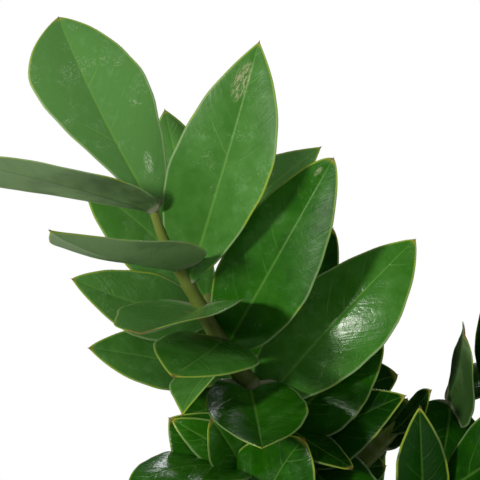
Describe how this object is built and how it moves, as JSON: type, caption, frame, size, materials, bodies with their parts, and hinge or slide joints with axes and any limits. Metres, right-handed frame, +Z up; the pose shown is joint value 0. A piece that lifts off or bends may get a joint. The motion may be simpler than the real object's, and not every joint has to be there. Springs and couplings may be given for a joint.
{
  "type": "potted zz plant",
  "caption": "House plant with arching fleshy fronds of glossy pointed oval leaflets, rooted in a soil-filled plain tapered pot with a rolled rim.",
  "frame": {"origin": "centre of the pot's flat base, on the surface that it stands on", "axes": "+Z up, along the pot's axis; +X to the right and +Y away from the viewer in the view that shows the tall frond"},
  "size_m": [0.2846, 0.2632, 0.4384],
  "materials": {
    "pot": "matt moulded plastic, slightly grained",
    "soil": "loose dark potting mix of peat and bark",
    "leaf": "waxy glossy leaf, green with a paler midrib and margin"
  },
  "bodies": {
    "root": {"pot": "pot", "soil": "soil", "frond_tall": "leaf", "frond_behind": "leaf", "frond_right": "leaf", "frond_low_front": "leaf", "frond_far_right": "leaf", "frond_left": "leaf", "frond_back_left": "leaf", "frond_back": "leaf", "frond_back_right": "leaf", "frond_front_right": "leaf", "frond_front_left": "leaf"}
  },
  "joints": []
}
